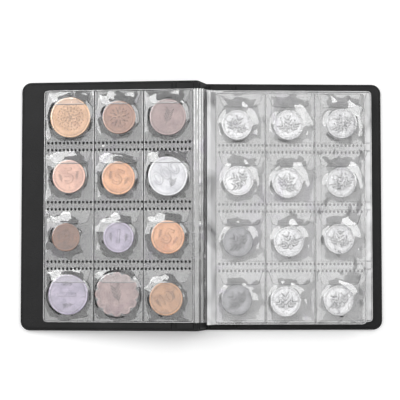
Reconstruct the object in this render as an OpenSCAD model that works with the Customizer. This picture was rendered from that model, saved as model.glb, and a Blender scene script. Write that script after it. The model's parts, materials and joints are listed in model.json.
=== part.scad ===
// Pocket coin album with a padded vinyl cover, lying open at its first leaf.
// X runs across the open album, Y runs up the page and Z is up. All sizes are in millimetres.
// The origin is on the table, under the middle of the open album.

/* [Cover] */
// Height of the cover
cover_h = 160; // [154:1:180]
// Length of a cover from its hinge line to its fore edge
cover_l = 114.3; // [112:0.1:125]
// Thickness of a padded cover panel
cover_t = 2.4; // [2.2:0.1:2.6]
// Radius of the two fore-edge corners
cover_r = 6; // [4:0.5:9]
// Width of the flat welded flange round the panels
flange_w = 2.2; // [1.5:0.1:3]
// Thickness of one vinyl skin
skin_t = 0.35; // [0.25:0.05:0.4]
// Thickness of the foam under the outer skin
foam_t = 0.6; // [0.4:0.1:0.8]
// Distance from the hinge line to the pressed groove of the front cover
front_groove = 14.9; // [12:0.1:24]
// Distance from the hinge line to the pressed groove of the back cover
back_groove = 18; // [12:0.1:24]
// Width of a pressed groove
groove_w = 3; // [2:0.1:4]

/* [Spine] */
// Distance between the two hinge lines
spine_w = 17; // [17:0.1:18]
// Lean of the spine away from the leaves while the album lies open
spine_lean = 22; // [20:1:23]
// Distance from a hinge line to the nearest padded panel
panel_gap = 2; // [1.6:0.1:2.4]
// Distance from a hinge line to the edge of the welded flange
flange_gap = 0.9; // [0.7:0.1:1.2]
// Height along the spine where the binding block starts
bead_from = 4.5; // [4.5:0.1:5]
// Height along the spine where the binding block ends
bead_to = 12; // [11:0.1:12]
// Depth of the binding block from the spine's lining
bead_d = 3; // [2:0.1:3]

/* [Leaves] */
// Height of a leaf
leaf_h = 149; // [140:1:152]
// Width of one pocket between the middles of its seams
pocket_pitch = 31.9; // [31:0.1:32]
// Film between the seam nearest the binding and the flexible margin
inner_edge = 0.6; // [0.5:0.1:0.8]
// Film between the outermost seam and the leaf's free edge
outer_edge = 1; // [0.8:0.1:1.5]
// Radius of a leaf's two free corners
leaf_r = 2.5; // [1:0.5:4]
// Thickness of the clear film
film_t = 0.2; // [0.15:0.05:0.2]
// Depth of a filled pocket between its two films
pocket_d = 2.2; // [2.2:0.05:2.3]
// Width of a welded seam
seam_w = 0.8; // [0.6:0.1:1.2]
// Width of the band between two rows of pockets
band_w = 5.1; // [4:0.1:6]
// Number of plain leaves under the first right-hand leaf
plain_leaves = 8; // [8:8]
// Distance between two plain leaves
leaf_gap = 1; // [0.8:0.05:1]

/* [Flaps] */
// Width of a pocket flap at its fold
flap_w = 28.7; // [24:0.1:30]
// Width of a pocket flap at its tip
flap_tip_w = 22.5; // [16:0.1:24]
// Length of a pocket flap
flap_l = 9.3; // [6:0.1:12]
// Radius of a flap's two corners
flap_r = 2; // [1:0.1:3]
// Thickness of the flap film
flap_t = 0.15; // [0.1:0.05:0.15]

/* [Coins] */
// Width of a coin's raised rim
rim_w = 1.1; // [0.6:0.1:1.5]
// Height of a coin's rim over its field
rim_h = 0.2; // [0.1:0.05:0.3]
// Gap between a coin and the film behind it
coin_gap = 0.05; // [0.05:0.05:0.1]

/* [Hidden] */
$fn = 96;
COLUMNS = 3;
ROWS = 4;
half_t = cover_t / 2;

// The leaning spine lifts the front cover's hinge, so that cover slopes down to the table.
table_gap = 0.02;
front_rise = spine_w * cos(spine_lean);
slope = asin((front_rise - table_gap) / cover_l);
hinge_x = (spine_w * sin(spine_lean) + cover_l * cos(slope) + half_t * sin(slope) - cover_l) / 2;
front_x = hinge_x - spine_w * sin(spine_lean);
front_z = half_t + front_rise;

// A leaf: the stiff block of pockets, measured from its edge nearest the binding.
block_w = inner_edge + COLUMNS * pocket_pitch + outer_edge;
pocket_h = (leaf_h - 2 * seam_w - (ROWS - 1) * band_w) / ROWS;
front_film_z = film_t + pocket_d;
flap_z = front_film_z - 0.15 - flap_t;

// Where each leaf lies: the first on the front cover, the rest in a stack on the back cover.
left_leaf_from = 1.9;
left_leaf_z = half_t + 0.15;
right_leaf_x = 7.9;
right_leaf_y = -1.5;
right_leaf_z = 10.98;
plain_leaf_x = 12;
plain_leaf_z = 10.2;
plain_leaf_step = 0.1;

// Each coin: diameter, thickness, offset to the right and up from the middle of its pocket.
LEFT_COINS = [
    [26.0, 1.70,  0.3, -0.3], [21.2, 1.65,  0.2, -0.6], [23.2, 1.70, -0.2, -0.8],
    [21.2, 1.65, -0.4, -0.3], [21.2, 1.65, -0.1, -1.5], [25.0, 1.75, -0.2, -0.5],
    [18.0, 1.50, -2.2, -1.2], [19.6, 1.60,  0.1, -1.2], [21.2, 1.65, -0.1, -1.2],
    [25.6, 1.70, -0.5,  0.3], [28.4, 1.75, -0.8,  0.6], [21.2, 1.65, -1.2, -2.2]
];
RIGHT_COIN_D = 19.4;
RIGHT_COIN_T = 1.6;
RIGHT_COINS = [
    [-2.3, -3.7], [-1.0, -3.6], [ 1.4, -2.6],
    [-1.5, -1.4], [-1.9, -2.9], [ 1.0, -2.5],
    [-1.9, -2.6], [-1.2, -2.5], [-0.5, -0.7],
    [-2.8, -1.7], [-3.3, -2.5], [-1.2, -2.0]
];
COINS = COLUMNS * ROWS;
SCALLOPED = 11;
SCALLOPS = 12;
SCALLOP_R = 4.2;

LEAF_PARTS = ["back_film", "pocket_fronts", "seams", "flaps"];
COVER_PARTS = ["outer_skin", "lining", "foam", "panel_board", "strip_board"];

VINYL = [0.17, 0.17, 0.175];
FOAM = [0.85, 0.85, 0.8];
BOARD = [0.55, 0.5, 0.42];
FILM = [0.78, 0.8, 0.8, 0.35];
COPPER = [0.72, 0.5, 0.38];
SILVER = [0.75, 0.75, 0.76];

// ---- Frames: x runs from the hinge line to the fore edge, z out of the lining ----

module back_frame() translate([hinge_x, 0, half_t]) children();

module front_frame() translate([front_x, 0, front_z]) rotate([0, -slope, 0]) mirror([1, 0, 0]) children();

module spine_frame()
    translate([hinge_x, 0, half_t]) rotate([0, -90 - spine_lean, 0]) mirror([0, 0, 1]) children();

module left_leaf_frame() front_frame() translate([left_leaf_from, 0, left_leaf_z]) children();

module right_leaf_frame() translate([right_leaf_x, right_leaf_y, right_leaf_z]) children();

function spine_point(s, m) = [
    hinge_x - s * sin(spine_lean) + m * cos(spine_lean),
    half_t + s * cos(spine_lean) + m * sin(spine_lean)
];

function cover_point(u, n) = [
    front_x - u * cos(slope) - n * sin(slope),
    front_z - u * sin(slope) + n * cos(slope)
];

// ---- Cover ----

// A rectangle from x0 to x1 with its two far corners rounded.
module far_rounded(x0, x1, h, r) {
    translate([x0, -h / 2]) square([x1 - r - x0, h]);
    translate([x1 - r, r - h / 2]) square([r, h - 2 * r]);
    for (end = [-1, 1]) translate([x1 - r, end * (h / 2 - r)]) circle(r);
}

module strip_outline(groove, inset)
    translate([panel_gap + inset, flange_w + inset - cover_h / 2])
        square([groove - groove_w / 2 - panel_gap - 2 * inset, cover_h - 2 * (flange_w + inset)]);

module panel_outline(groove, inset)
    far_rounded(
        groove + groove_w / 2 + inset, cover_l - flange_w - inset,
        cover_h - 2 * (flange_w + inset), cover_r - flange_w - inset
    );

module spine_outline(inset)
    translate([panel_gap + inset, flange_w + inset - cover_h / 2])
        square([spine_w - 2 * (panel_gap + inset), cover_h - 2 * (flange_w + inset)]);

// Half of the cover's thickness: a flange with a pan over each panel.
module cover_skin(groove) {
    difference() {
        union() {
            linear_extrude(skin_t) far_rounded(flange_gap, cover_l, cover_h, cover_r);
            linear_extrude(half_t) panel_outline(groove, 0);
            linear_extrude(half_t) strip_outline(groove, 0);
        }
        translate([0, 0, -skin_t]) linear_extrude(half_t) panel_outline(groove, skin_t);
        translate([0, 0, -skin_t]) linear_extrude(half_t) strip_outline(groove, skin_t);
    }
}

module spine_skin() {
    difference() {
        union() {
            linear_extrude(skin_t) translate([flange_gap, -cover_h / 2])
                square([spine_w - 2 * flange_gap, cover_h]);
            linear_extrude(half_t) spine_outline(0);
        }
        translate([0, 0, -skin_t]) linear_extrude(half_t) spine_outline(skin_t);
    }
}

module outer_skin(groove) color(VINYL) mirror([0, 0, 1]) cover_skin(groove);

module lining(groove) color(VINYL) cover_skin(groove);

// The foam lies on the outer skin and the board on the foam.
module foam(groove) color(FOAM) translate([0, 0, skin_t - half_t]) linear_extrude(foam_t) {
    panel_outline(groove, 2 * skin_t);
    strip_outline(groove, 2 * skin_t);
}

module board_plate()
    color(BOARD) translate([0, 0, skin_t + foam_t - half_t])
        linear_extrude(cover_t - 2 * skin_t - foam_t) children();

module cover_part(part, groove) {
    if (part == "outer_skin") outer_skin(groove);
    if (part == "lining") lining(groove);
    if (part == "foam") foam(groove);
    if (part == "panel_board") board_plate() panel_outline(groove, 2 * skin_t);
    if (part == "strip_board") board_plate() strip_outline(groove, 2 * skin_t);
}

module front_cover_part(part) front_frame() cover_part(part, front_groove);

module back_cover_part(part) back_frame() cover_part(part, back_groove);

// ---- Spine ----

module spine_outer_skin() color(VINYL) spine_frame() mirror([0, 0, 1]) spine_skin();

module spine_lining() color(VINYL) spine_frame() spine_skin();

module spine_board() color(BOARD) spine_frame()
    translate([0, 0, skin_t - half_t]) linear_extrude(cover_t - 2 * skin_t) spine_outline(2 * skin_t);

// The two skins welded together along a hinge line: a round core with a tongue to each side.
module web_core() rotate([90, 0, 0]) cylinder(h = cover_h, r = skin_t, center = true);

module web_tongue(reach) translate([0, -cover_h / 2, -skin_t]) cube([reach, cover_h, 2 * skin_t]);

module front_hinge_web() color(VINYL) {
    front_frame() { web_core(); web_tongue(flange_gap - 0.05); }
    spine_frame() translate([spine_w, 0, 0]) mirror([1, 0, 0]) web_tongue(flange_gap);
}

module back_hinge_web() color(VINYL) {
    back_frame() { web_core(); web_tongue(flange_gap); }
    spine_frame() web_tongue(flange_gap - 0.05);
}

// The leaves' edges welded into one block, which is welded to the spine's lining.
module binding_block() color(FILM) spine_frame()
    translate([bead_from, -leaf_h / 2, half_t]) cube([bead_to - bead_from, leaf_h, bead_d]);

// ---- Flexible margins between the binding block and the stiff pocket blocks ----

MARGIN_STEPS = 8;
margin_clear = 0.05;

function bezier(a, b, c, d, t) =
    pow(1 - t, 3) * a + 3 * t * pow(1 - t, 2) * b + 3 * t * t * (1 - t) * c + pow(t, 3) * d;

function side_of(path, i, distance) =
    let (last = len(path) - 1, way = path[min(i + 1, last)] - path[max(i - 1, 0)])
    path[i] + distance * [-way.y, way.x] / norm(way);

module margin_film(a, b, c, d, y = 0) {
    path = [for (i = [0 : MARGIN_STEPS]) bezier(a, b, c, d, i / MARGIN_STEPS)];
    upper = [for (i = [0 : MARGIN_STEPS]) side_of(path, i, film_t / 2)];
    lower = [for (i = [0 : MARGIN_STEPS]) side_of(path, MARGIN_STEPS - i, -film_t / 2)];
    translate([0, y, 0]) rotate([90, 0, 0]) linear_extrude(leaf_h, center = true)
        polygon(concat(upper, lower));
}

module leaf_1_margin() color(FILM)
    margin_film(
        spine_point(bead_to + margin_clear, half_t + 1.4), [0.8, front_z + 0.5], [-1.5, front_z + 3.2],
        cover_point(left_leaf_from - margin_clear, left_leaf_z + 1)
    );

// Leaf 2 arches over the block's upper edge. The plain leaves leave its face one under another.
module leaf_margins() color(FILM) {
    margin_film(
        spine_point(bead_to + margin_clear, half_t + 2.4), [0.6, front_z + 0.8], [4.2, front_z - 0.4],
        [right_leaf_x - margin_clear, right_leaf_z + 1.2], right_leaf_y
    );
    for (i = [0 : plain_leaves - 1]) {
        from = spine_point(bead_to - 0.8 - 0.85 * i, half_t + bead_d + margin_clear);
        to = [plain_leaf_x + plain_leaf_step * i - margin_clear, plain_leaf_z + film_t - leaf_gap * i];
        margin_film(from, from + [1.2, -0.6], to - [6.6, 0.1], to);
    }
}

// ---- Leaves: x from the edge nearest the binding, y from the middle, z from the back ----

function column_x(column) = inner_edge + (column + 0.5) * pocket_pitch;

function row_y(row) = leaf_h / 2 - seam_w - pocket_h / 2 - row * (pocket_h + band_w);

module film_sheet(z) translate([0, 0, z]) linear_extrude(film_t) far_rounded(0, block_w, leaf_h, leaf_r);

// One strip of film over each row, open at its upper edge.
module film_strips(z) intersection() {
    film_sheet(z);
    for (row = [0 : ROWS - 1])
        translate([0, row_y(row) - pocket_h / 2 - seam_w, z]) cube([block_w, pocket_h + seam_w, film_t]);
}

// Welds along the foot and the flap line of each row, and the upright welds between pockets.
module seams() {
    seams_w = COLUMNS * pocket_pitch + seam_w;
    for (row = [0 : ROWS - 1]) translate([inner_edge - seam_w / 2, row_y(row), film_t]) {
        translate([0, -pocket_h / 2 - seam_w, 0]) cube([seams_w, seam_w, pocket_d]);
        translate([0, pocket_h / 2, 0]) cube([seams_w, seam_w, pocket_d]);
        for (column = [0 : COLUMNS])
            translate([column * pocket_pitch, margin_clear - pocket_h / 2, 0])
                cube([seam_w, pocket_h - 2 * margin_clear, pocket_d]);
    }
}

// A tongue with slanting sides and two round corners, hanging down from its fold at y = 0.
function flap_outline() =
    let (
        lean = atan((flap_w - flap_tip_w) / 2 / flap_l),
        inset = flap_r * (1 - sin(lean)) / cos(lean),
        corner = [flap_tip_w / 2 - inset, flap_r - flap_l],
        arc = [for (i = [0 : 4]) let (a = -lean - i * (90 - lean) / 4) corner + flap_r * [cos(a), sin(a)]]
    )
    concat([[-flap_w / 2, 0], [flap_w / 2, 0]], arc, [for (i = [4 : -1 : 0]) [-arc[i].x, arc[i].y]]);

module flaps()
    for (row = [0 : ROWS - 1]) for (column = [0 : COLUMNS - 1])
        translate([column_x(column), row_y(row) + pocket_h / 2, flap_z])
            linear_extrude(flap_t) polygon(flap_outline());

module leaf_part(part) color(FILM) {
    if (part == "back_film") film_sheet(0);
    if (part == "pocket_fronts") film_strips(front_film_z);
    if (part == "seams") seams();
    if (part == "flaps") flaps();
}

module left_leaf_part(part) left_leaf_frame() leaf_part(part);

module right_leaf_part(part) right_leaf_frame() leaf_part(part);

// An empty leaf: its pocket strips lie flat on the sheet behind them.
module plain_leaf(leaf) color(FILM)
    translate([plain_leaf_x + plain_leaf_step * (leaf - 3), 0, plain_leaf_z - leaf_gap * (leaf - 3)]) {
        film_sheet(0);
        film_strips(film_t);
    }

// ---- Coins ----

module coin_outline(d, scalloped) {
    if (scalloped) {
        circle(d / 2 - SCALLOP_R / 2);
        for (i = [1 : SCALLOPS]) rotate(i * 360 / SCALLOPS) translate([d / 2 - SCALLOP_R, 0]) circle(SCALLOP_R);
    } else circle(d / 2);
}

module coin(d, t, scalloped = false)
    difference() {
        linear_extrude(t) coin_outline(d, scalloped);
        for (z = [-rim_h, t - rim_h])
            translate([0, 0, z]) cylinder(h = 2 * rim_h, d = d - 2 * rim_w - (scalloped ? 2.6 : 0));
    }

// Moves to the middle of the pocket that holds coin i, counted as the page is read.
module pocket_of(i, column) translate([column_x(column), row_y(floor((i - 1) / COLUMNS)), film_t + coin_gap])
    children();

module left_coin(i) {
    spec = LEFT_COINS[i - 1];
    silvery = i == 6 || i == 8 || i == 10;
    color(silvery ? SILVER : COPPER)
        left_leaf_frame() pocket_of(i, COLUMNS - 1 - (i - 1) % COLUMNS)
            translate([-spec[2], spec[3], 0]) coin(spec[0], spec[1], i == SCALLOPED);
}

module right_coin(i) color(SILVER) right_leaf_frame() pocket_of(i, (i - 1) % COLUMNS)
    translate([RIGHT_COINS[i - 1][0], RIGHT_COINS[i - 1][1], 0]) coin(RIGHT_COIN_D, RIGHT_COIN_T);

// ---- Assembly ----

for (part = COVER_PARTS) {
    front_cover_part(part);
    back_cover_part(part);
}
spine_outer_skin();
spine_lining();
spine_board();
front_hinge_web();
back_hinge_web();
binding_block();
leaf_1_margin();
leaf_margins();
for (part = LEAF_PARTS) {
    left_leaf_part(part);
    right_leaf_part(part);
}
for (leaf = [3 : 2 + plain_leaves]) plain_leaf(leaf);
for (i = [1 : COINS]) {
    left_coin(i);
    right_coin(i);
}
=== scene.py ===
import json
import math

import bpy
import numpy as np
from mathutils import Matrix, Vector


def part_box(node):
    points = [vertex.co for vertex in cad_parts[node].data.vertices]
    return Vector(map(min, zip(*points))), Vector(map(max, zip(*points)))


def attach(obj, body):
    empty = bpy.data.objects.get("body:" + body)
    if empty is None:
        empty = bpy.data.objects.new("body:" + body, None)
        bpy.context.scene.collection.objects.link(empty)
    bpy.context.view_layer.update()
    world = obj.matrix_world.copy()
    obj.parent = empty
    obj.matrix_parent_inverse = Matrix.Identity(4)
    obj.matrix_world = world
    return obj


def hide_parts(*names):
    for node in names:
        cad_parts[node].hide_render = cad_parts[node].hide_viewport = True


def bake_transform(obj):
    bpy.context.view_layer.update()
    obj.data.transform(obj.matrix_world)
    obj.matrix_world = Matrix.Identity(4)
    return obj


bl_info = {
    "name": "Coin Album",
    "version": (1, 0, 0),
    "blender": (4, 5, 0),
    "location": "View3D > Sidebar > Coin Album",
    "description": "Finishes a pocket coin album with padded covers, clear film leaves and struck coins",
    "category": "Object",
}

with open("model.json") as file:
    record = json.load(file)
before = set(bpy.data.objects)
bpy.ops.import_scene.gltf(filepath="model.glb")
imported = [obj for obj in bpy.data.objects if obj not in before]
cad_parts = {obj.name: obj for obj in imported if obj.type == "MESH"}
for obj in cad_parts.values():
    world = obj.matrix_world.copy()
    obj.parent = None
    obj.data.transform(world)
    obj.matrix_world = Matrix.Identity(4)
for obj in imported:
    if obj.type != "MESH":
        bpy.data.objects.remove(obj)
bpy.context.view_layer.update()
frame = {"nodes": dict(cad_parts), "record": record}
JOINTS = {joint["name"]: joint for joint in frame["record"]["behaviour"]["joints"]}
MM = 0.001


def span(node):
    """A CAD node's lowest and highest corners, in millimetres."""
    low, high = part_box(node)
    return Vector(low) / MM, Vector(high) / MM


# ---- Places taken from the frame, in millimetres ----

BACK_HINGE = Vector(JOINTS["spine_hinge"]["pos_m"]) / MM
FRONT_HINGE = Vector(JOINTS["cover_hinge"]["pos_m"]) / MM
LEAF_AXIS = Vector(JOINTS["leaf_2_turn"]["pos_m"]) / MM
LEAN = math.radians(JOINTS["spine_hinge"]["range_deg"][1])
SLOPE = math.radians(-JOINTS["leaf_2_turn"]["range_deg"][0] - 180)
SPINE_W = (FRONT_HINGE - BACK_HINGE).length
LEAF_LOW, LEAF_HIGH = span("leaf_2_back_film")
BLOCK_W = LEAF_HIGH.x - LEAF_LOW.x
LEAF_H = LEAF_HIGH.y - LEAF_LOW.y
COVER_LOW, COVER_HIGH = span("back_outer_skin")
COVER_H = COVER_HIGH.y - COVER_LOW.y
COVER_L = COVER_HIGH.x - BACK_HINGE.x
HALF_T = BACK_HINGE.z

# The leaf's layout, which the pockets, welds and flaps share.
COLUMNS, ROWS = 3, 4
INNER_EDGE, OUTER_EDGE = 0.6, 1.0
PITCH = (BLOCK_W - INNER_EDGE - OUTER_EDGE) / COLUMNS
SEAM_W, BAND_W = 0.8, 5.1
POCKET_H = (LEAF_H - 2 * SEAM_W - (ROWS - 1) * BAND_W) / ROWS
BACK_T = 0.2
WELD_Z = 0.45
FILM_TOP = 2.42
COIN_LIFT = 0.05
LEFT_FROM, LEFT_Z = 1.9, HALF_T + 0.15

# Frames that carry a piece from its own axes to its place: x outwards, z out of the page.
LEFT_PAGE = (
    Matrix.Translation(FRONT_HINGE) @ Matrix.Rotation(-SLOPE, 4, "Y")
    @ Matrix.Scale(-1, 4, (1, 0, 0)) @ Matrix.Translation((LEFT_FROM, 0, LEFT_Z))
)
RIGHT_PAGE = Matrix.Translation((LEAF_LOW.x, (LEAF_LOW.y + LEAF_HIGH.y) / 2, LEAF_LOW.z))
FRONT_COVER = (
    Matrix.Translation(FRONT_HINGE) @ Matrix.Rotation(-SLOPE, 4, "Y") @ Matrix.Scale(-1, 4, (1, 0, 0))
)
BACK_COVER = Matrix.Translation(BACK_HINGE)
SPINE = (
    Matrix.Translation(BACK_HINGE) @ Matrix.Rotation(-math.pi / 2 - LEAN, 4, "Y")
    @ Matrix.Scale(-1, 4, (0, 0, 1))
)


# ---- Settings that a user would change ----

def colour(name, description, default):
    return bpy.props.StringProperty(name=name, description=description, default=default)


def length(name, description, default):
    return bpy.props.FloatProperty(
        name=name, description=description, default=default * MM, unit="LENGTH", subtype="DISTANCE",
        precision=5,
    )


class CoverSettings(bpy.types.PropertyGroup):
    vinyl: colour("Vinyl", "Colour of the leatherette, as sRGB hex", "131314")
    worn: colour("Worn vinyl", "Colour where the grain is rubbed, as sRGB hex", "1e1e1f")
    grain: length("Grain", "Width of one pebble of the grain", 0.9)
    flange: length("Flange", "Width of the flat edge outside the weld line", 1.0)
    groove_front: length("Front groove", "Hinge line to the front cover's pressed groove", 14.9)
    groove_back: length("Back groove", "Hinge line to the back cover's pressed groove", 18.0)


class FilmSettings(bpy.types.PropertyGroup):
    haze: colour("Haze", "Colour of the light that the film scatters, as sRGB hex", "f2f2f3")
    cell: length("Mesh cell", "Size of one cell of the film's mesh", 0.62)
    crease: length("Crease", "Height of the creases round each coin", 0.16)
    dot_pitch: length("Weld pitch", "Distance between two pressed weld dots", 2.55)
    dot_size: length("Weld dot", "Width of a pressed weld dot", 1.5)


class CoinSettings(bpy.types.PropertyGroup):
    rim: length("Rim", "Width of a coin's rim", 1.0)
    relief: length("Relief", "Height of the design over the field", 0.30)
    sides: bpy.props.IntProperty(name="Sides", description="Facets round a coin", default=72, min=24, max=128)


class StageSettings(bpy.types.PropertyGroup):
    distance: length("Distance", "Camera to table", 780.0)
    view_w: length("View width", "Width of table that the camera takes in", 260.4)
    floor: colour("Floor", "Colour of the table, as sRGB hex", "ffffff")


# ---- Materials ----

def rgb(hexa, alpha=1.0):
    """An sRGB hex colour as linear red, green, blue and alpha."""
    parts = [int(hexa[i:i + 2], 16) / 255 for i in (0, 2, 4)]
    return [p / 12.92 if p <= 0.04045 else ((p + 0.055) / 1.055) ** 2.4 for p in parts] + [alpha]


def between(first, second, share):
    """The sRGB hex colour this far from the first to the second."""
    pairs = [(int(first[i:i + 2], 16), int(second[i:i + 2], 16)) for i in (0, 2, 4)]
    return "".join(f"{round(a + (b - a) * share):02x}" for a, b in pairs)


def add(tree, kind, inputs=None, **settings):
    """Adds a node. An input is a value, or a link given as (node, output)."""
    node = tree.nodes.new(kind)
    for key, value in settings.items():
        setattr(node, key, value)
    for key, value in (inputs or {}).items():
        if isinstance(value, tuple):
            tree.links.new(value[0].outputs[value[1]], node.inputs[key])
        else:
            node.inputs[key].default_value = value
    return node


def ramp(tree, source, stops):
    """A colour ramp between (place, hex) stops."""
    node = add(tree, "ShaderNodeValToRGB", {"Fac": source})
    while len(node.color_ramp.elements) < len(stops):
        node.color_ramp.elements.new(0.5)
    for element, (place, hexa) in zip(node.color_ramp.elements, stops):
        element.position = place
        element.color = rgb(hexa)
    return node


def blank(name):
    """An empty material, its tree and its output node."""
    material = bpy.data.materials.new(name)
    material.use_nodes = True
    tree = material.node_tree
    tree.nodes.clear()
    return material, tree, add(tree, "ShaderNodeOutputMaterial")


def show(tree, out, shader, output="BSDF"):
    tree.links.new(shader.outputs[output], out.inputs["Surface"])


def per_mm(size_mm):
    """The texture scale that makes one cell this many millimetres wide, on coordinates in metres."""
    return 1 / (size_mm * MM)


def leatherette(settings):
    """Black PVC sheet embossed with a pebble grain: satin, with paler rubbed patches."""
    material, tree, out = blank("black_pvc_leatherette")
    grain_mm = settings.grain / MM
    place = add(tree, "ShaderNodeTexCoord")
    cells = add(tree, "ShaderNodeTexVoronoi", {"Vector": (place, "Object"), "Scale": per_mm(grain_mm)},
                feature="SMOOTH_F1")
    fine = add(tree, "ShaderNodeTexNoise", {"Vector": (place, "Object"), "Scale": per_mm(0.5), "Detail": 3.0})
    wear = add(tree, "ShaderNodeTexNoise", {"Vector": (place, "Object"), "Scale": per_mm(26), "Detail": 4.0})
    mix = add(tree, "ShaderNodeMath", {0: (cells, "Distance"), 1: (fine, "Fac")}, operation="MULTIPLY_ADD")
    mix.inputs[2].default_value = 0.15
    tone = ramp(tree, (wear, "Fac"), [(0.35, settings.vinyl), (0.75, settings.worn)])
    bump = add(tree, "ShaderNodeBump", {"Height": (mix, "Value"), "Strength": 0.9, "Distance": 0.0003})
    shader = add(tree, "ShaderNodeBsdfPrincipled", {
        "Base Color": (tone, "Color"), "Normal": (bump, "Normal"), "Roughness": 0.55, "IOR": 1.38})
    show(tree, out, shader)
    return material


def clear_film(name, settings, haze, gloss, patch_mm, ripple=0.5):
    """Soft clear PVC: each face mirrors the lights faintly, and the sheet scatters a little light."""
    material, tree, out = blank(name)
    place = add(tree, "ShaderNodeTexCoord")
    patches = add(tree, "ShaderNodeTexNoise", {
        "Vector": (place, "Object"), "Scale": per_mm(patch_mm), "Detail": 2.0, "Distortion": 0.8})
    spread = add(tree, "ShaderNodeMapRange", {"Value": (patches, "Fac"), "From Min": 0.40, "From Max": 0.60,
                                              "To Min": haze * 0.5, "To Max": haze * 1.5})
    wave = add(tree, "ShaderNodeTexNoise", {
        "Vector": (place, "Object"), "Scale": per_mm(11), "Detail": 1.0, "Distortion": 0.5})
    bump = add(tree, "ShaderNodeBump", {"Height": (wave, "Fac"), "Strength": ripple, "Distance": 0.001})
    clear = add(tree, "ShaderNodeBsdfTransparent", {"Color": rgb("fdfdfd")})
    milky = add(tree, "ShaderNodeBsdfDiffuse", {"Color": rgb(settings.haze)})
    body = add(tree, "ShaderNodeMixShader", {
        "Fac": (spread, "Result"), 1: (clear, "BSDF"), 2: (milky, "BSDF")})
    tint = ramp(tree, (patches, "Fac"), [(0.60, "ffffff"), (0.78, "ece6f3")])
    shine = add(tree, "ShaderNodeBsdfGlossy", {
        "Color": (tint, "Color"), "Roughness": 0.04, "Normal": (bump, "Normal")})
    facing = add(tree, "ShaderNodeFresnel", {"IOR": 1.53, "Normal": (bump, "Normal")})
    lift = add(tree, "ShaderNodeMath", {0: (facing, "Fac"), 1: gloss}, operation="ADD")
    whole = add(tree, "ShaderNodeMixShader", {
        "Fac": (lift, "Value"), 1: (body, "Shader"), 2: (shine, "BSDF")})
    show(tree, out, whole, "Shader")
    return material


def pressed_weld_and_painted_shadow(name, shade):
    """A spot where the films are fused: no haze, so it looks darker than the film round it. The flaps also
    take it for a painted shadow: a dark strip along each flap's edge.
    """
    material, tree, out = blank(name)
    dark = add(tree, "ShaderNodeBsdfTransparent", {"Color": rgb(shade)})
    shine = add(tree, "ShaderNodeBsdfGlossy", {"Roughness": 0.15})
    facing = add(tree, "ShaderNodeFresnel", {"IOR": 1.53})
    whole = add(tree, "ShaderNodeMixShader", {"Fac": (facing, "Fac"), 1: (dark, "BSDF"), 2: (shine, "BSDF")})
    show(tree, out, whole, "Shader")
    return material


def struck_metal(name, bright, toned, dark, roughness, patch_mm=9.0):
    """Struck and handled coin metal: bright and toned patches, with dark dirt spots, all scattered at random.
    """
    material, tree, out = blank(name)
    place = add(tree, "ShaderNodeTexCoord")
    patches = add(tree, "ShaderNodeTexNoise", {
        "Vector": (place, "Object"), "Scale": per_mm(patch_mm), "Detail": 5.0, "Distortion": 0.6})
    tone = ramp(tree, (patches, "Fac"), [(0.34, bright), (0.66, toned)])
    dirt = add(tree, "ShaderNodeTexNoise", {"Vector": (place, "Object"), "Scale": per_mm(1.6), "Detail": 6.0})
    spots = ramp(tree, (dirt, "Fac"), [(0.56, "000000"), (0.80, "ffffff")])
    mixed = add(tree, "ShaderNodeMix", {"Factor": (spots, "Color"), 6: (tone, "Color"), 7: rgb(dark)},
                data_type="RGBA")  # sockets 6, 7 and 2 are its colours in and out
    marks = add(tree, "ShaderNodeTexVoronoi", {"Vector": (place, "Object"), "Scale": per_mm(1.3)})
    bump = add(tree, "ShaderNodeBump", {"Height": (marks, "Distance"), "Strength": 0.3, "Distance": 0.00012})
    shader = add(tree, "ShaderNodeBsdfPrincipled", {
        "Base Color": (mixed, 2), "Normal": (bump, "Normal"), "Metallic": 1.0, "Roughness": roughness})
    show(tree, out, shader)
    return material


def plain_matt(name, light, shade, grain_mm, roughness=0.9):
    """A matt fibrous or foamed board, speckled by its fibres or cells."""
    material, tree, out = blank(name)
    place = add(tree, "ShaderNodeTexCoord")
    fibres = add(tree, "ShaderNodeTexNoise", {
        "Vector": (place, "Object"), "Scale": per_mm(grain_mm), "Detail": 6.0})
    tone = ramp(tree, (fibres, "Fac"), [(0.3, shade), (0.7, light)])
    bump = add(tree, "ShaderNodeBump", {"Height": (fibres, "Fac"), "Strength": 0.3, "Distance": 0.0002})
    shader = add(tree, "ShaderNodeBsdfPrincipled", {
        "Base Color": (tone, "Color"), "Normal": (bump, "Normal"), "Roughness": roughness})
    show(tree, out, shader)
    return material


# ---- Modelling helpers ----

def start():
    """Object mode, with nothing selected."""
    if bpy.context.object and bpy.context.object.mode != "OBJECT":
        bpy.ops.object.mode_set(mode="OBJECT")
    bpy.ops.object.select_all(action="DESELECT")


def pick(piece):
    """Makes a piece the only selected one."""
    start()
    piece.select_set(True)
    bpy.context.view_layer.objects.active = piece


def primitive(operator, **settings):
    """Adds a primitive and hands back its object."""
    start()
    operator(**settings)
    return bpy.context.object


def carry(piece, matrix):
    """Puts a piece modelled in millimetres in its own axes where the matrix says, in metres."""
    piece.data.transform(piece.matrix_world)
    piece.matrix_world = Matrix.Identity(4)
    piece.data.transform(Matrix.Scale(MM, 4) @ matrix)
    if matrix.determinant() < 0:
        piece.data.flip_normals()
    piece.data.update()


def modify(piece, kind, **settings):
    """Adds a modifier and applies it."""
    pick(piece)
    modifier = piece.modifiers.new(kind.lower(), kind)
    for key, value in settings.items():
        setattr(modifier, key, value)
    bpy.ops.object.modifier_apply(modifier=modifier.name)


def faces_where(piece, test):
    """Enters edit mode with only the faces that pass the test selected."""
    pick(piece)
    bpy.ops.object.mode_set(mode="EDIT")
    bpy.ops.mesh.select_mode(type="FACE")
    bpy.ops.mesh.select_all(action="DESELECT")
    bpy.ops.object.mode_set(mode="OBJECT")
    for face in piece.data.polygons:
        face.select = test(face)
    bpy.ops.object.mode_set(mode="EDIT")


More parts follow.
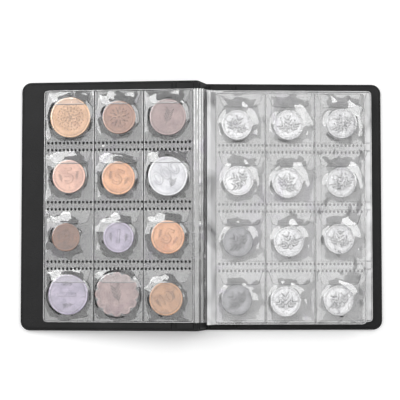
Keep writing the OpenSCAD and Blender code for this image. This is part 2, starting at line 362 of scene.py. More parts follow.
def edges_where(piece, test):
    """Enters edit mode with only the edges whose two ends pass the test selected."""
    pick(piece)
    bpy.ops.object.mode_set(mode="EDIT")
    bpy.ops.mesh.select_mode(type="EDGE")
    bpy.ops.mesh.select_all(action="DESELECT")
    bpy.ops.object.mode_set(mode="OBJECT")
    points = [v.co for v in piece.data.vertices]
    for edge in piece.data.edges:
        edge.select = test(points[edge.vertices[0]], points[edge.vertices[1]])
    bpy.ops.object.mode_set(mode="EDIT")


def done_editing():
    bpy.ops.object.mode_set(mode="OBJECT")


def smooth(piece, degrees=40):
    pick(piece)
    bpy.ops.object.shade_smooth_by_angle(angle=math.radians(degrees))


def join(pieces):
    """Joins pieces into the first."""
    pick(pieces[0])
    for piece in pieces:
        piece.select_set(True)
    bpy.ops.object.join()
    return pieces[0]


def settle(piece, name, body, slot, material, *nodes):
    """Names a finished piece, gives it its material, hangs it on its body and hides the CAD nodes that it
    replaces.
    """
    piece.name = piece.data.name = name
    piece.data.materials.clear()
    piece.data.materials.append(material)
    if body:
        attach(piece, body)
    if nodes:
        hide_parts(*nodes)
    return piece


def sheet_of(cells_x, cells_y, shape):
    """A grid whose points a function puts in place from two numbers between 0 and 1."""
    piece = primitive(bpy.ops.mesh.primitive_grid_add, x_subdivisions=cells_x, y_subdivisions=cells_y, size=1)
    flat = np.empty(len(piece.data.vertices) * 3)
    piece.data.vertices.foreach_get("co", flat)
    across, up = flat[0::3] + 0.5, flat[1::3] + 0.5
    flat[0::3], flat[1::3], flat[2::3] = shape(across, up)
    piece.data.vertices.foreach_set("co", flat)
    piece.data.update()
    return piece


# ---- Leaf shapes ----

def column_x(column):
    return INNER_EDGE + (column + 0.5) * PITCH


def row_y(row):
    return LEAF_H / 2 - SEAM_W - POCKET_H / 2 - row * (POCKET_H + BAND_W)


def cell_of(coin):
    """The column and row of the pocket that a coin lies in."""
    column = min(range(COLUMNS), key=lambda c: abs(column_x(c) - coin[0]))
    row = min(range(ROWS), key=lambda q: abs(row_y(q) - coin[1]))
    return column, row


def coins_of(page, matrix):
    """(x, y, radius) of each coin of a page, in the leaf's own axes."""
    found = []
    back = matrix.inverted()
    for i in range(1, COLUMNS * ROWS + 1):
        low, high = span(f"{page}_coin_{i}")
        middle = back @ ((low + high) / 2)
        found.append((middle.x, middle.y, (high.y - low.y) / 2))
    return found


def film_height(x, y, coins, crease):
    """Height of the pocket film: pinned at the welds, stretched over the coin, creased between."""
    z = np.full_like(x, WELD_Z)
    for k, (cx, cy, r) in enumerate(coins):
        column = min(range(COLUMNS), key=lambda c: abs(column_x(c) - cx))
        row = min(range(ROWS), key=lambda q: abs(row_y(q) - cy))
        side = PITCH / 2 - np.abs(x - column_x(column))
        foot = y - (row_y(row) - POCKET_H / 2)
        mouth = row_y(row) + POCKET_H / 2 - y
        inside = (side > 0) & (foot > 0) & (mouth > 0)
        edge = np.minimum(np.minimum(side, foot), mouth + 1.2)
        away = np.hypot(x - cx, y - cy) - r
        out = np.maximum(away, 0)
        rise = np.clip(edge / (edge + out + 0.1), 0, 1)
        angle = np.arctan2(y - cy, x - cx)
        fold = np.sin(angle * 5 + k * 1.7) + 0.5 * np.sin(angle * 9 + k * 0.9)
        tent = WELD_Z + (FILM_TOP - WELD_Z - 0.10 * np.clip(-away / r, 0, 1)) * rise ** 2.4
        tent += crease * fold * np.clip(out / 2, 0, 1) * np.clip(edge / 2, 0, 1)
        z = np.where(inside, tent, z)
    return np.minimum(z, FILM_TOP)


def rounded_corner(x, y, radius):
    """Draws the two free corners of a leaf in to a radius."""
    cx, cy = BLOCK_W - radius, LEAF_H / 2 - radius
    dx, dy = np.maximum(x - cx, 0), np.maximum(np.abs(y) - cy, 0)
    reach = np.hypot(dx, dy)
    longest = np.maximum(np.maximum(dx, dy), 1e-9)
    shrink = np.where(reach > 0, longest / np.maximum(reach, 1e-9), 1)
    inside = (dx > 0) & (dy > 0)
    return np.where(inside, cx + dx * shrink, x), np.where(inside, np.sign(y) * (cy + dy * shrink), y)


def leaf_grid(cell, height, radius=2.5):
    def shape(across, up):
        x, y = rounded_corner(across * BLOCK_W, (up - 0.5) * LEAF_H, radius)
        return x, y, height(x, y)
    return sheet_of(round(BLOCK_W / cell), round(LEAF_H / cell), shape)


# ---- Operators ----

class Maker:
    """What every operator of this file shares."""
    bl_options = {"REGISTER"}

    def execute(self, context):
        self.make(context.scene)
        return {"FINISHED"}


def cover_shell(length_mm, height_mm, cuts, corner, settings, start_at):
    """A padded cover: a flat welded edge, a sunk weld line, and a swollen panel between the grooves."""
    half = 0.35
    piece = primitive(bpy.ops.mesh.primitive_cube_add, size=1)
    piece.data.transform(Matrix.Diagonal((length_mm - start_at, height_mm, 2 * half, 1)))
    piece.data.transform(Matrix.Translation(((length_mm + start_at) / 2, 0, 0)))
    if corner:
        edges_where(piece, lambda a, b: a.x > length_mm - 0.01 and b.x > length_mm - 0.01
                    and abs(a.z - b.z) > half)
        bpy.ops.mesh.bevel(offset=corner, segments=8)
        done_editing()
    for cut in cuts:
        pick(piece)
        bpy.ops.object.mode_set(mode="EDIT")
        bpy.ops.mesh.select_all(action="SELECT")
        bpy.ops.mesh.bisect(plane_co=(cut, 0, 0), plane_no=(1, 0, 0))
        done_editing()
    flange = settings.flange / MM
    faces_where(piece, lambda face: abs(face.normal.z) > 0.9)
    bpy.ops.mesh.inset(thickness=flange, depth=0, use_individual=True)
    bpy.ops.mesh.inset(thickness=0.15, depth=-0.12, use_individual=True)
    bpy.ops.mesh.inset(thickness=0.15, depth=0.12, use_individual=True)
    bpy.ops.mesh.inset(thickness=0.15, depth=0.5, use_individual=True)
    bpy.ops.mesh.inset(thickness=0.3, depth=0.26, use_individual=True)
    bpy.ops.mesh.inset(thickness=0.9, depth=0.09, use_individual=True)
    done_editing()
    modify(piece, "BEVEL", width=0.12, segments=2, limit_method="ANGLE", angle_limit=math.radians(25))
    smooth(piece, 50)
    return piece


class OBJECT_OT_album_covers(Maker, bpy.types.Operator):
    """Pads and welds the front cover, the spine and the back cover"""
    bl_idname = "object.album_covers"
    bl_label = "Covers and spine"

    def make(self, scene):
        settings = scene.album_cover
        vinyl = leatherette(settings)
        front = cover_shell(COVER_L, COVER_H, [settings.groove_front / MM], 6, settings, 0.9)
        carry(front, FRONT_COVER)
        settle(front, "front_cover_skin", "front_cover", "leatherette", vinyl,
               "front_outer_skin", "front_lining")
        back = cover_shell(COVER_L, COVER_H, [settings.groove_back / MM], 6, settings, 0.9)
        carry(back, BACK_COVER)
        settle(back, "back_cover_skin", "back_cover", "leatherette", vinyl, "back_outer_skin", "back_lining")
        spine = cover_shell(SPINE_W - 0.9, COVER_H, [], 0, settings, 0.9)
        carry(spine, SPINE)
        settle(spine, "spine_skin", "spine", "leatherette", vinyl, "spine_outer_skin", "spine_lining")
        self.web("front_hinge_skin", FRONT_HINGE, Vector((math.sin(LEAN), 0, -math.cos(LEAN))),
                 Vector((-math.cos(SLOPE), 0, -math.sin(SLOPE))), ("spine", "front_cover"),
                 "front_hinge_web", vinyl)
        self.web("back_hinge_skin", BACK_HINGE, Vector((1, 0, 0)),
                 Vector((-math.sin(LEAN), 0, math.cos(LEAN))), ("back_cover", "spine"),
                 "back_hinge_web", vinyl)
        board = plain_matt("greyboard", "a39a88", "7c7466", 0.6)
        foam = plain_matt("sheet_foam", "dedcd2", "c4c1b4", 0.4)
        for node in frame["nodes"]:
            if "board" in node or "foam" in node:
                stuff = board if "board" in node else foam
                frame["nodes"][node].data.materials.clear()
                frame["nodes"][node].data.materials.append(stuff)

    def web(self, name, hinge, to_a, to_b, bodies, node, vinyl):
        """The bending strip of welded skin on a hinge line, a smooth curve from one flange to the other."""
        reach = 1.2
        a, b = hinge + to_a * reach, hinge + to_b * reach

        def shape(across, up):
            line = [(1 - across) ** 2 * a[i] + 2 * across * (1 - across) * hinge[i] + across ** 2 * b[i]
                    for i in (0, 2)]
            return line[0], (up - 0.5) * (COVER_H - 0.1), line[1]
        piece = sheet_of(12, 40, shape)
        modify(piece, "SOLIDIFY", thickness=0.62, offset=0)
        carry(piece, Matrix.Identity(4))
        smooth(piece, 60)
        settle(piece, name, None, "leatherette", vinyl, node)
        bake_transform(piece)


class OBJECT_OT_album_leaves(Maker, bpy.types.Operator):
    """Makes the clear leaves: films, welds, flaps and bending margins"""
    bl_idname = "object.album_leaves"
    bl_label = "Clear leaves"

    def make(self, scene):
        settings = scene.album_film
        films = {
            "front": clear_film("clear_pvc_film", settings, 0.006, 0.03, 15),
            "back": clear_film("clear_pvc_back_film", settings, 0.02, 0.03, 22),
            "flap": clear_film("clear_pvc_flap", settings, 0.01, 0.02, 9),
            # The beads get a strong haze: a painted highlight for the shine on the raised film at the welds
            # and flap edges.
            "bead": clear_film("clear_pvc_bead_painted_highlight", settings, 0.30, 0.12, 9),
            "margin": clear_film("clear_pvc_margin", settings, 0.10, 0.12, 12, 0.3),
            "stack": clear_film("stacked_pvc_leaf", settings, 0.62, 0.05, 30, 0.3),
        }
        # The weld film also draws the painted shadow strip beside each flap's edge.
        welds = pressed_weld_and_painted_shadow("pressed_weld_and_painted_shadow", "606060"), pressed_weld_and_painted_shadow("pressed_weld_and_painted_shadow_pale", "ededed")
        pages = ((1, "left", LEFT_PAGE, welds[0]), (2, "right", RIGHT_PAGE, welds[1]))
        for leaf, page, matrix, weld in pages:
            self.filled_leaf(leaf, page, matrix, settings, films, weld)
            self.weld_lines(f"leaf_{leaf}", matrix, films["bead"], weld)
        for leaf in range(3, 11):
            self.empty_leaf(leaf, films["stack"], welds[1])
        self.margins(films["margin"], films["stack"])
        block = frame["nodes"]["binding_block"].data
        block.materials.clear()
        block.materials.append(films["stack"])

    def filled_leaf(self, leaf, page, matrix, settings, films, weld):
        body = f"leaf_{leaf}"
        coins = coins_of(page, matrix)
        crease = settings.crease / MM

        def top(x, y):
            return film_height(x, y, coins, crease)
        for number, coin in enumerate(coins, 1):
            self.pocket(body, f"{page}_coin_{number}", coin, matrix, settings, top, films["front"])
            self.flap(body, f"{page}_coin_{number}", coin, matrix, top, films, weld)
        self.bands(body, matrix, films["front"])
        back = leaf_grid(3, lambda x, y: np.full_like(x, BACK_T) + 0.0 * x)
        modify(back, "SOLIDIFY", thickness=0.16, offset=-1)
        carry(back, matrix)
        settle(back, f"{body}_backing", body, "clear_film", films["back"], f"{body}_back_film")
        self.weld_dots(body, matrix, settings, weld)

    def pocket(self, body, coin_body, coin, matrix, settings, top, film):
        """The film over one pocket, in two halves that meet across the coin's middle."""
        cx, cy, r = coin
        column, row = cell_of(coin)
        foot, mouth = row_y(row) - POCKET_H / 2, row_y(row) + POCKET_H / 2
        cell = settings.cell / MM
        halves = (
            ("foot", foot, cy, foot, cy - r, (body, coin_body)),
            ("mouth", cy, mouth - 0.02, cy + r, mouth, (coin_body, body)),
        )
        for name, low, high, start_y, end_y, bodies in halves:
            def shape(across, up, low=low, high=high):
                x, y = column_x(column) + (across - 0.5) * PITCH, low + up * (high - low)
                return (*rounded_corner(x, y, 2.5), top(x, y))
            piece = sheet_of(round(PITCH / cell), round((high - low) / cell), shape)
            modify(piece, "SOLIDIFY", thickness=0.07, offset=-1)
            carry(piece, matrix)
            smooth(piece, 80)
            settle(piece, f"{coin_body}_{name}_film", None, "clear_film", film)
            ends = [matrix @ Vector((cx, y, 0)) * MM for y in (start_y, end_y)]
            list(bodies)
            tuple(ends[0])
            tuple(ends[1])
            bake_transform(piece)

    def bands(self, body, matrix, film):
        """The flat film between the rows and along the leaf's edges."""
        edges = [LEAF_H / 2]
        for row in range(ROWS):
            edges += [row_y(row) + POCKET_H / 2, row_y(row) - POCKET_H / 2]
        edges.append(-LEAF_H / 2)
        last = INNER_EDGE + COLUMNS * PITCH
        areas = [(0, BLOCK_W, edges[i + 1], edges[i]) for i in range(0, len(edges), 2)]
        areas += [(0, INNER_EDGE, edges[i + 1], edges[i]) for i in range(1, len(edges) - 1, 2)]
        areas += [(last, BLOCK_W, edges[i + 1], edges[i]) for i in range(1, len(edges) - 1, 2)]
        strips = []
        for x0, x1, y0, y1 in areas:
            def shape(across, up):
                x, y = x0 + across * (x1 - x0), y0 + up * (y1 - y0)
                return (*rounded_corner(x, y, 2.5), np.full_like(x, WELD_Z))
            strips.append(sheet_of(max(2, round((x1 - x0) / 1.2)), max(2, round((y1 - y0) / 1.2)), shape))
        piece = join(strips)
        modify(piece, "SOLIDIFY", thickness=0.07, offset=-1)
        carry(piece, matrix)
        smooth(piece, 80)
        settle(piece, f"{body}_band_film", body, "clear_film", film,
               f"{body}_pocket_fronts", f"{body}_seams", f"{body}_flaps")

    def flap(self, body, coin_body, coin, matrix, top, films, weld):
        """A tongue tucked under the pocket film, its rolled edge, and beside that a dark strip that is a
        painted shadow of the edge.
        """
        column, row = cell_of(coin)
        middle, mouth = column_x(column), row_y(row) + POCKET_H / 2
        wide, tip, long = 28.7, 22.5, 9.3

        def tongue(across, up):
            down = 1 - up
            half = wide / 2 + (tip - wide) / 2 * down
            round_off = 2.0 * np.clip((np.abs(across - 0.5) * 2 - 0.86) / 0.14, 0, 1) ** 2
            x = middle + (across - 0.5) * 2 * half
            y = mouth + 0.9 - down * (long - round_off)
            return x, y, top(x, np.minimum(y, mouth - 0.1)) - 0.17
        corners = [(-14.35, 0.9), (-11.25, -8.4), (11.25, -8.4), (14.35, 0.9)]
        path = []
        for i in range(3):
            for step in np.linspace(0.06, 0.94, 24):
                path.append([corners[i][k] + (corners[i + 1][k] - corners[i][k]) * step for k in (0, 1)])
        path = np.array(path)
        for _ in range(3):
            path[1:-1] = (path[:-2] + path[1:-1] * 2 + path[2:]) / 4
        way = np.gradient(path, axis=0)
        way /= np.linalg.norm(way, axis=1)[:, None]
        outward = np.stack([way[:, 1], -way[:, 0]], axis=1)

        def edge(inner, outer):
            def shape(across, up):
                at = np.rint(across * (len(path) - 1)).astype(int)
                off = inner + (outer - inner) * up
                x = middle + path[at, 0] + outward[at, 0] * off
                y = mouth + path[at, 1] + outward[at, 1] * off
                return x, y, top(x, np.minimum(y, mouth - 0.1)) - 0.10
            return sheet_of(len(path) - 1, 1, shape)
        parts = (
            ("flap_film", sheet_of(36, 14, tongue), -1, films["flap"]),
            # The flap's bead is bright by its haze: a painted highlight on the edge.
            ("flap_bead", edge(-0.28, 0.06), 0, films["bead"]),
            # A dark strip just outside the edge: a painted shadow of the flap's edge.
            ("flap_painted_shadow", edge(0.08, 0.32), 0, weld),
        )
        for name, piece, offset, stuff in parts:
            modify(piece, "SOLIDIFY", thickness=0.06, offset=offset)
            carry(piece, matrix)
            smooth(piece, 80 if name == "flap_film" else 50)
            settle(piece, f"{coin_body}_{name}", None, "clear_film", stuff)
            ends = [matrix @ Vector((coin[0], y, 0)) * MM for y in (coin[1] + coin[2], mouth)]
            tuple(ends[0])
            tuple(ends[1])
            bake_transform(piece)

    def weld_dots(self, body, matrix, settings, weld):
        """Rows of pressed weld dots along both edges of each band."""
        pitch, size = settings.dot_pitch / MM, settings.dot_size / MM
        dots = []
        count = int((BLOCK_W - 2.5) / pitch)
        first = (BLOCK_W - (count - 1) * pitch) / 2
        for row in range(ROWS - 1):
            foot = row_y(row) - POCKET_H / 2
            for y in (foot - 0.3, foot - BAND_W + 0.3):
                for k in range(count):
                    x = first + k * pitch
                    z = WELD_Z + 0.32
                    dots.append(primitive(bpy.ops.mesh.primitive_cylinder_add, vertices=8, radius=size / 2,
                                          depth=0.08, location=(x, y, z), scale=(1, 1.25, 1)))
        piece = join(dots)
        carry(piece, matrix)
        settle(piece, f"{body}_weld_dots", body, "clear_film", weld)

    def ring(self, inward, width, z):
        """A flat ring round the leaf, this far in from its edge."""
        size = BLOCK_W - 2 * inward, LEAF_H - 2 * inward
        piece = primitive(bpy.ops.mesh.primitive_plane_add, size=1)
        piece.data.transform(Matrix.Translation((BLOCK_W / 2, 0, z)) @ Matrix.Diagonal((*size, 1, 1)))
        faces_where(piece, lambda face: True)
        bpy.ops.mesh.bevel(offset=2.5 - inward, segments=6, affect="VERTICES")
        bpy.ops.mesh.select_all(action="SELECT")
        bpy.ops.mesh.inset(thickness=width, depth=0)
        bpy.ops.mesh.delete(type="FACE")
        done_editing()
        modify(piece, "SOLIDIFY", thickness=0.12, offset=0)
        return piece

    def bar(self, x, width, thickness, z):
        """A straight rib down a leaf."""
        return primitive(bpy.ops.mesh.primitive_cube_add, size=1, location=(x, 0, z),
                         scale=(width, LEAF_H - 2, thickness))

    def weld_lines(self, body, matrix, film, weld):
        """Each weld is a dark fused line between two beads of displaced film. The beads' strong haze makes
        them bright, a painted highlight of their shine.
        """
        beads = [self.ring(0.05, 0.42, WELD_Z + 0.12)]
        lines = [self.ring(0.50, 0.30, WELD_Z + 0.10)]
        for column in range(1, COLUMNS):
            x = INNER_EDGE + column * PITCH
            beads += [self.bar(x + side * 0.62, 0.45, 0.30, WELD_Z + 0.1) for side in (-1, 1)]
            lines.append(self.bar(x, 0.55, 0.10, WELD_Z + 0.1))
        for pieces, name, stuff in ((beads, "weld_beads", film), (lines, "weld_lines", weld)):
            piece = join(pieces)
            if pieces is beads:
                modify(piece, "BEVEL", width=0.1, segments=2, limit_method="ANGLE")
            carry(piece, matrix)
            smooth(piece, 50)
            settle(piece, f"{body}_{name}", body, "clear_film", stuff)

    def empty_leaf(self, leaf, film, weld):
        """An empty leaf, a little wavy, its pocket strips lying flat."""
        low, high = span(f"leaf_{leaf}")
        phase = leaf * 1.3

        def height(x, y):
            wave = 0.07 * np.sin(x / 17 + phase) * np.sin(y / 29 + phase)
            edge = np.clip(x / 20, 0, 1)
            z = 0.28 + wave * edge
            for column in range(COLUMNS + 1):
                z = z + 0.10 * np.exp(-((x - INNER_EDGE - column * PITCH) / 0.6) ** 2)
            for row in range(ROWS - 1):
                foot = row_y(row) - POCKET_H / 2
                z = z + 0.08 * np.exp(-((y - foot) / 0.6) ** 2)
                z = z + 0.08 * np.exp(-((y - foot + BAND_W) / 0.6) ** 2)
            return z
        piece = leaf_grid(1.6, height)
        modify(piece, "SOLIDIFY", thickness=0.24, offset=-1)
        place = Matrix.Translation((low.x, (low.y + high.y) / 2, low.z))
        carry(piece, place)
        smooth(piece, 80)
        settle(piece, f"leaf_{leaf}_film", f"leaf_{leaf}", "clear_film", film, f"leaf_{leaf}")
        lines = [self.ring(0.5, 0.35, 0.36)]
        lines += [self.bar(INNER_EDGE + column * PITCH, 0.6, 0.08, 0.36) for column in range(1, COLUMNS)]
        for row in range(ROWS):
            middle = row_y(row)
            for y in (middle - POCKET_H / 2, middle + POCKET_H / 2):
                lines.append(primitive(bpy.ops.mesh.primitive_cube_add, size=1,
                                       location=(BLOCK_W / 2, y, 0.36), scale=(BLOCK_W - 2, 0.7, 0.08)))
            # Each flap's outline is a dark strip along its edge: a painted shadow of the edge.
            for column in range(COLUMNS):
                x, y = column_x(column), middle + POCKET_H / 2 - 8.4
                lines.append(primitive(bpy.ops.mesh.primitive_cube_add, size=1, location=(x, y, 0.36),
                                       scale=(22.5, 0.3, 0.08)))
                for side in (-1, 1):
                    lines.append(primitive(
                        bpy.ops.mesh.primitive_cube_add, size=1, location=(x + side * 12.8, y + 4.2, 0.36),
                        rotation=(0, 0, -side * 0.35), scale=(0.3, 8.9, 0.08)))
        piece = join(lines)
        carry(piece, place)
        settle(piece, f"leaf_{leaf}_weld_lines", f"leaf_{leaf}", "clear_film", weld)

    def margins(self, film, milky):
        """The soft strip of each leaf between the binding block and its pockets."""
        _, block_high = span("binding_block")
        for leaf in range(1, 11):
            if leaf == 1:
                inner = LEFT_PAGE @ Vector((0.4, 0, 0.4))
                shoulder = [Vector((-3.8, 0, FRONT_HINGE.z + 3.2)), Vector((2.5, 0, FRONT_HINGE.z + 2.4))]
                root = Vector((2.35, 0, block_high.z - 0.2))
                middle_y = 0
            elif leaf == 2:
                inner = Vector((LEAF_LOW.x + 0.4, 0, LEAF_LOW.z + 0.4))
                shoulder = [Vector((4.4, 0, FRONT_HINGE.z - 0.3)), Vector((1.95, 0, FRONT_HINGE.z + 2.2))]
                root = Vector((2.65, 0, block_high.z + 0.2))
                middle_y = (LEAF_LOW.y + LEAF_HIGH.y) / 2
            else:
                low, _ = span(f"leaf_{leaf}")
                inner = Vector((low.x + 0.3, 0, low.z + 0.2))
                root = Vector((2.5 + (leaf - 3) * 0.32, 0, block_high.z - 0.7 - (leaf - 3) * 0.79))
                shoulder = [inner - Vector((6.6, 0, 0.1)), root + Vector((1.2, 0, -0.6))]
                middle_y = 0

            def shape(across, up, inner=inner, shoulder=shoulder, root=root, middle_y=middle_y):
                line = [
                    (1 - across) ** 3 * inner[i] + 3 * across * (1 - across) ** 2 * shoulder[0][i]
                    + 3 * across ** 2 * (1 - across) * shoulder[1][i] + across ** 3 * root[i] for i in (0, 2)
                ]
                ridge = 0.16 * np.sin(across * 24) * np.sin(across * math.pi)
                y = (up - 0.5) * LEAF_H
                ripple = 0.08 * np.sin(y / 7 + across * 5) * across * (1 - across)
                return line[0], y + middle_y, line[1] + ridge + ripple
            fine = leaf < 3
            piece = sheet_of(36 if fine else 14, 90 if fine else 30, shape)
            modify(piece, "SOLIDIFY", thickness=0.14, offset=0)
            carry(piece, Matrix.Identity(4))
            smooth(piece, 80)
            node = "leaf_1_margin" if leaf == 1 else "leaf_margins"
            stuff = film if leaf == 1 else milky
            settle(piece, f"leaf_{leaf}_bending_margin", None, "clear_film", stuff, node)
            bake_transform(piece)


METALS = {
    "rose_copper": ("e9c09c", "d8ae86", "7a5236", 0.30),
    "bright_copper": ("f2bc90", "e3a87e", "86553a", 0.28),
    "pink_copper": ("f0c6b0", "e0b3a4", "835a4a", 0.30),
    "tan_copper": ("d8a87e", "c0906c", "6b4a36", 0.32),
    "brown_copper": ("c39880", "aa8070", "5c3c30", 0.32),
    "dark_copper": ("97684f", "7a5542", "42302a", 0.32),
    "mauve_cupronickel": ("b8a09e", "a08a8a", "5d4a48", 0.30),
    "lavender_nickel": ("c4bacd", "aaa1b8", "66606f", 0.28),
    # The next two metals give the raised design a darker colour than the field: painted shade on the relief.
    "nickel_painted_shade_relief": ("77777b", "66666a", "2c2c30", 0.30),
    "dark_nickel_painted_shade_relief": ("4c4c50", "404044", "1c1c1e", 0.30),
    "white_aluminium": ("f6f6f8", "e6e6ea", "85858b", 0.30),
}
# The flat field of a coin whose relief is painted much darker than it: painted shade that makes the raised
# design read as dark strokes.
FIELDS = {
    "nickel_painted_shade_relief": ("e2e2e3", "cdcdcf", "5a5a5e", 0.24),
    "dark_nickel_painted_shade_relief": ("9c9c9f", "868689", "3a3a3e", 0.24),
}
# For each coin: its metal, the design on it, and how far the design is turned, in degrees.
LEFT_DESIGNS = [
    ("rose_copper", "dense", 0), ("brown_copper", "rosette", 20), ("mauve_cupronickel", "sprig", -15),
    ("pink_copper", "5", 8), ("bright_copper", "5", -20), ("white_aluminium", "000", 33),
    ("dark_copper", "8", 0), ("lavender_nickel", "1", -4), ("bright_copper", "5", -25),
    ("lavender_nickel", "1", 90), ("mauve_cupronickel", "sprig", 15), ("tan_copper", "10", 30),
]
RIGHT_TURNS = (-20, 10, 35, 60, -35, 15, 50, 20, -10, 75, 5, 40)
RIGHT_DESIGNS = [("nickel_painted_shade_relief", "spray", turn) for turn in RIGHT_TURNS]
RIGHT_DESIGNS[6] = RIGHT_DESIGNS[9] = ("dark_nickel_painted_shade_relief", "spray", 50)


class OBJECT_OT_album_coins(Maker, bpy.types.Operator):
    """Strikes the coins that lie in the pockets"""
    bl_idname = "object.album_coins"
    bl_label = "Coins"

    def make(self, scene):
        settings = scene.album_coin
        metals = {name: struck_metal(name, *recipe) for name, recipe in METALS.items()}
        fields = {
            name: struck_metal(f"{name}_field", between(bright, dark, 0.24), between(toned, dark, 0.42),
                               between(toned, dark, 0.7), rough, 6.0)
            for name, (bright, toned, dark, rough) in METALS.items()
        }
        fields.update({name: struck_metal(f"{name}_flat", *recipe) for name, recipe in FIELDS.items()})
        slots = {part["node"]: part["material_slot"] for part in frame["record"]["subparts"]}
        pages = (("left", LEFT_PAGE, LEFT_DESIGNS), ("right", RIGHT_PAGE, RIGHT_DESIGNS))
        for page, matrix, designs in pages:
            for i, (x, y, r) in enumerate(coins_of(page, matrix), 1):
                metal, design, turn = designs[i - 1]
                node = f"{page}_coin_{i}"
                thick = 1.75 if r > 12 else 1.6
                scallops = 12 if page == "left" and i == 11 else 0
                piece = self.strike(r, thick, design, math.radians(turn), scallops, metal, settings)
                mirror = Matrix.Scale(-1, 4, (1, 0, 0)) if page == "left" else Matrix.Identity(4)
                place = Matrix.Translation((x, y, BACK_T + COIN_LIFT + thick / 2))
                if page == "left":
                    piece.data.transform(mirror)
                    piece.data.flip_normals()
                carry(piece, matrix @ place)
                flags = [face.material_index for face in piece.data.polygons]
                settle(piece, f"{node}_struck", node, slots[node], metals[metal], node)
                piece.data.materials.append(fields[metal])
                piece.data.polygons.foreach_set("material_index", flags)

    def strike(self, r, thick, design, turn, scallops, metal, settings):
        """A blank with a raised rim, a ring of beads, and a design on its upper face."""
        rim, relief = settings.rim / MM, settings.relief / MM
        blank_r = r if not scallops else r - 0.55
        sides = settings.sides if not scallops else scallops * 12
        blank_piece = primitive(bpy.ops.mesh.primitive_cylinder_add, vertices=sides, radius=blank_r,
                                depth=thick - 0.2)
        if scallops:
            for point in blank_piece.data.vertices:
                angle = math.atan2(point.co.y, point.co.x)
                wave = abs(math.cos(angle * scallops / 2))
                reach = (blank_r - 1.55 + 2.1 * wave ** 0.8) / blank_r
                point.co.x, point.co.y = point.co.x * reach, point.co.y * reach
        faces_where(blank_piece, lambda face: abs(face.normal.z) > 0.9)
        bpy.ops.mesh.inset(thickness=0.15, depth=0.1, use_individual=True)
        bpy.ops.mesh.inset(thickness=rim - 0.3, depth=0, use_individual=True)
        bpy.ops.mesh.inset(thickness=0.2, depth=-0.18, use_individual=True)
        done_editing()
        smooth(blank_piece, 30)
        for name in ("relief", "field"):
            blank_piece.data.materials.append(bpy.data.materials.new(name))
        for face in blank_piece.data.polygons:
            flat = abs(face.normal.z) > 0.9 and face.area > blank_r ** 2
            # Coins with painted shade on the relief take the bright field colour on the whole blank, rim
            # included.
            face.material_index = int(flat or metal in FIELDS)
        field = thick / 2 - 0.18
        inner = (r - rim - 0.5 - (1.3 if scallops else 0))
        parts = [blank_piece]
        parts += self.beads(inner, field, relief)
        parts += self.design(design, inner * 0.86, field, relief, turn)
        return join(parts)

    def beads(self, radius, field, relief):
        count = int(2 * math.pi * radius / 0.85)
        return [self.lump((radius * math.cos(a), radius * math.sin(a), field), (0.26, 0.26, relief), a, 6)
                for a in (2 * math.pi * k / count for k in range(count))]

    def lump(self, place, size, turn, sides=8):
        """A low oval boss, half sunk in the field."""
        piece = primitive(bpy.ops.mesh.primitive_uv_sphere_add, segments=sides, ring_count=4, radius=1)
        piece.data.transform(
            Matrix.Translation(place) @ Matrix.Rotation(turn, 4, "Z") @ Matrix.Diagonal((*size, 1)))
        piece.data.shade_smooth()
        return piece

    def design(self, design, reach, field, relief, turn):
        """The relief inside the beads: a numeral with sprigs, a rosette, a wreath, a spray or a branch."""
        if design == "000":
            parts = [self.numeral(design, (-0.1 * reach, 0.16 * reach), reach * 1.3, field, relief, turn)]
            return parts + self.sprig((reach * 0.2, -reach * 0.85), math.radians(75), reach * 0.7,
                                      reach * 0.22, 3, field, relief, 0)
        if design.isdigit():
            size = reach * (1.75 if len(design) == 1 else 1.2)
            parts = [self.numeral(design, (0, 0), size, field, relief, turn)]
            for side in (-1, 1):
                parts += self.sprig((side * reach * 0.62, -reach * 0.45), math.radians(90 - side * 10),
                                    reach * 0.85, reach * 0.16, 3, field, relief, turn)
            return parts
        if design in ("rosette", "dense"):
            rings = [(0.42, 8, 0.2), (0.74, 16, 0.13)]
            if design == "dense":
                rings = [(0.22, 5, 0.12), (0.42, 11, 0.11), (0.62, 17, 0.10), (0.82, 24, 0.09)]
            parts = [self.lump((0, 0, field), (reach * 0.12, reach * 0.12, relief), 0)]
            for ring, count, size in rings:
                for k in range(count):
                    a = 2 * math.pi * k / count + turn + ring * 9
                    lean = a if design == "rosette" else a + k * 1.3
                    parts.append(self.lump((reach * ring * math.cos(a), reach * ring * math.sin(a), field),
                                           (reach * size, reach * size * 0.42, relief), lean))
            return parts
        if design == "sprig":
            return self.sprig((0, -reach * 0.7), math.radians(90), reach * 1.3, reach * 0.3, 4, field,
                              relief * 0.7, turn)
        parts = []
        for angle in (-42, 0, 38):
            long = reach * (1.65 - abs(angle) * 0.01)
            parts += self.sprig((0, -reach * 0.8), math.radians(90 + angle), long, reach * 0.36, 3,
                                field, relief * 1.5, turn)
        return parts

    def sprig(self, foot, heading, long, leaf_long, pairs, field, relief, turn):
        """A stem with pairs of leaves."""
        way = Vector((math.cos(heading), math.sin(heading)))
        middle = Vector(foot) + way * long / 2
        spin = Matrix.Rotation(turn, 2)
        at = spin @ middle
        parts = [self.lump((*at, field), (long / 2, 0.24, relief), heading + turn)]
        for k in range(pairs):
            step = Vector(foot) + way * long * (0.25 + 0.7 * k / pairs)
            for side in (-1, 1):
                lean = heading + side * math.radians(38)
                tip = step + Vector((math.cos(lean), math.sin(lean))) * leaf_long * 0.8
                at = spin @ tip
                size = leaf_long * 0.8, leaf_long * 0.19, relief
                parts.append(self.lump((*at, field), size, lean + turn))
        return parts

    def numeral(self, digit, place, size, field, relief, turn):
        """A plain raised figure."""
        start()
        bpy.ops.object.text_add()
        text = bpy.context.object
        text.data.body = digit
        text.data.align_x, text.data.align_y = "CENTER", "CENTER"
        text.data.size = size
        text.data.extrude = 0.02
        text.data.bevel_depth = relief - 0.02
        text.data.bevel_resolution = 1
        text.data.resolution_u = 3
        bpy.ops.object.convert(target="MESH")
        piece = bpy.context.object
        piece.data.transform(Matrix.Translation((*place, field)) @ Matrix.Rotation(turn, 4, "Z"))
        return piece


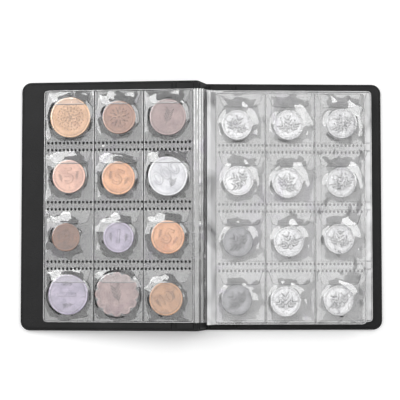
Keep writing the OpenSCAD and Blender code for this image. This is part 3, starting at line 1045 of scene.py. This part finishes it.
class OBJECT_OT_album_stage(Maker, bpy.types.Operator):
    """Sets the table, the lights and the camera"""
    bl_idname = "object.album_stage"
    bl_label = "Stage"

    def make(self, scene):
        settings = scene.album_stage
        floor = primitive(bpy.ops.mesh.primitive_plane_add, size=6)
        floor.name = floor.data.name = "table"
        material, tree, out = blank("white_table")
        shader = add(tree, "ShaderNodeBsdfPrincipled", {
            "Base Color": rgb(settings.floor), "Roughness": 0.7, "Emission Color": rgb(settings.floor),
            "Emission Strength": 0.14})
        show(tree, out, shader)
        floor.data.materials.append(material)
        floor.location.z = -0.0005
        self.light("overhead_softbox", (-0.265, 0.0, 1.1), (1.17, 0.75), 3.2, (-0.265, 0.0, 0.0))
        self.light("left_softbox", (-0.75, 0.45, 0.75), (0.8, 0.8), 5.0, (-0.06, 0.0, 0.0))
        self.light("right_softbox", (0.75, 0.45, 0.75), (0.8, 0.8), 5.0, (0.06, 0.0, 0.0))
        world = bpy.data.worlds.new("studio")
        scene.world = world
        world.use_nodes = True
        world.node_tree.nodes["Background"].inputs["Color"].default_value = rgb("ffffff")
        world.node_tree.nodes["Background"].inputs["Strength"].default_value = 0.38
        scene.view_settings.view_transform = "Standard"
        scene.cycles.transparent_max_bounces = 32
        self.camera(scene, settings)

    def light(self, name, place, size, power, aim):
        start()
        bpy.ops.object.light_add(type="AREA", location=place)
        lamp = bpy.context.object
        lamp.name = name
        lamp.data.shape = "RECTANGLE"
        lamp.data.size, lamp.data.size_y = size
        lamp.data.energy = power
        lamp.rotation_euler = (Vector(aim) - Vector(place)).to_track_quat("-Z", "Y").to_euler()

    def camera(self, scene, settings):
        """Looks almost straight down, from a little below and left of the middle."""
        aim = Vector((-1.35, 4.2, 0)) * MM
        tilt_x, tilt_y = math.radians(1.9), math.radians(3.0)
        away = Vector((-math.sin(tilt_x), -math.sin(tilt_y), 1)).normalized()
        start()
        bpy.ops.object.camera_add(location=aim + away * settings.distance)
        camera = bpy.context.object
        forward = -away
        right = forward.cross(Vector((0, 1, 0))).normalized()
        up = right.cross(forward)
        camera.rotation_euler = Matrix((right, up, -forward)).transposed().to_euler()
        camera.data.sensor_width = 36
        camera.data.lens = 36 * settings.distance / settings.view_w
        scene.camera = camera


class VIEW3D_PT_album(bpy.types.Panel):
    """Lists the album's makers in the sidebar"""
    bl_idname = "VIEW3D_PT_album"
    bl_label = "Coin Album"
    bl_space_type = "VIEW_3D"
    bl_region_type = "UI"
    bl_category = "Coin Album"

    def draw(self, context):
        for operator in MAKERS:
            self.layout.operator(operator.bl_idname)


GROUPS = {
    "album_cover": CoverSettings, "album_film": FilmSettings, "album_coin": CoinSettings,
    "album_stage": StageSettings,
}
MAKERS = [OBJECT_OT_album_stage, OBJECT_OT_album_covers, OBJECT_OT_album_leaves, OBJECT_OT_album_coins]


def register():
    for group in (*GROUPS.values(), *MAKERS, VIEW3D_PT_album):
        bpy.utils.register_class(group)
    for name, group in GROUPS.items():
        setattr(bpy.types.Scene, name, bpy.props.PointerProperty(type=group))


def unregister():
    for name in GROUPS:
        delattr(bpy.types.Scene, name)
    for group in (VIEW3D_PT_album, *reversed(MAKERS), *reversed(GROUPS.values())):
        bpy.utils.unregister_class(group)


def main():
    register()
    for maker in MAKERS:
        family, name = maker.bl_idname.split(".")
        getattr(getattr(bpy.ops, family), name)()


if __name__ == "__main__":
    main()
